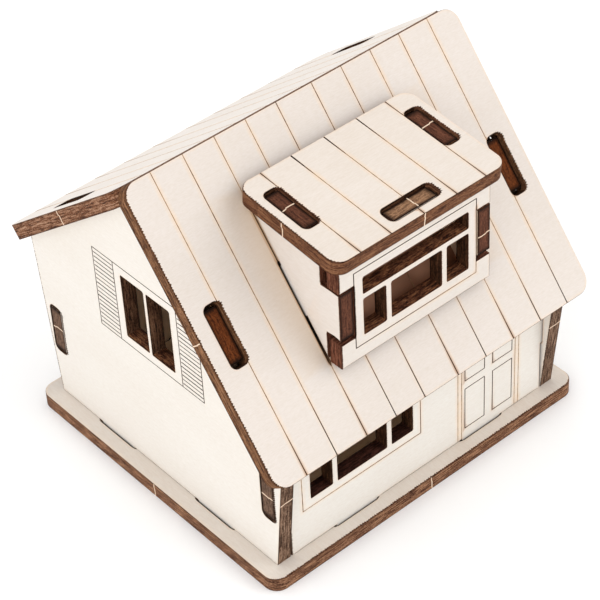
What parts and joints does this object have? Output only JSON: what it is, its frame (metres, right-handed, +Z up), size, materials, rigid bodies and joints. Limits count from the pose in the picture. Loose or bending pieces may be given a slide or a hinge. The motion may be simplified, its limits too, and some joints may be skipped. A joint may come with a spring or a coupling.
{
  "type": "wooden dollhouse",
  "caption": "Small plywood dollhouse with an uneven gable roof, a dormer, engraved door and shutters, slotted together from flat sheets.",
  "frame": {"origin": "middle of the underside of the base plate", "axes": "+Z up, +X along the ridge to the right seen from the front, the wall with the door and window faces -Y"},
  "size_m": [0.076, 0.0747, 0.0727],
  "materials": {
    "base_plate": "bare laser-cut plywood, pale faces and charred edges",
    "front_wall": "bare laser-cut plywood, pale faces and charred edges",
    "back_wall": "bare laser-cut plywood, pale faces and charred edges",
    "left_gable_wall": "bare laser-cut plywood, pale faces and charred edges",
    "right_gable_wall": "bare laser-cut plywood, pale faces and charred edges",
    "front_roof_panel": "bare laser-cut plywood, pale faces and charred edges",
    "back_roof_panel": "bare laser-cut plywood, pale faces and charred edges",
    "dormer_front": "bare laser-cut plywood, pale faces and charred edges",
    "dormer_left_cheek": "bare laser-cut plywood, pale faces and charred edges",
    "dormer_right_cheek": "bare laser-cut plywood, pale faces and charred edges",
    "dormer_roof": "bare laser-cut plywood, pale faces and charred edges"
  },
  "bodies": {
    "root": {"base_plate": "base_plate", "front_wall": "front_wall", "back_wall": "back_wall", "left_gable_wall": "left_gable_wall", "right_gable_wall": "right_gable_wall", "front_roof_panel": "front_roof_panel", "back_roof_panel": "back_roof_panel", "dormer_front": "dormer_front", "dormer_left_cheek": "dormer_left_cheek", "dormer_right_cheek": "dormer_right_cheek", "dormer_roof": "dormer_roof"}
  },
  "joints": []
}
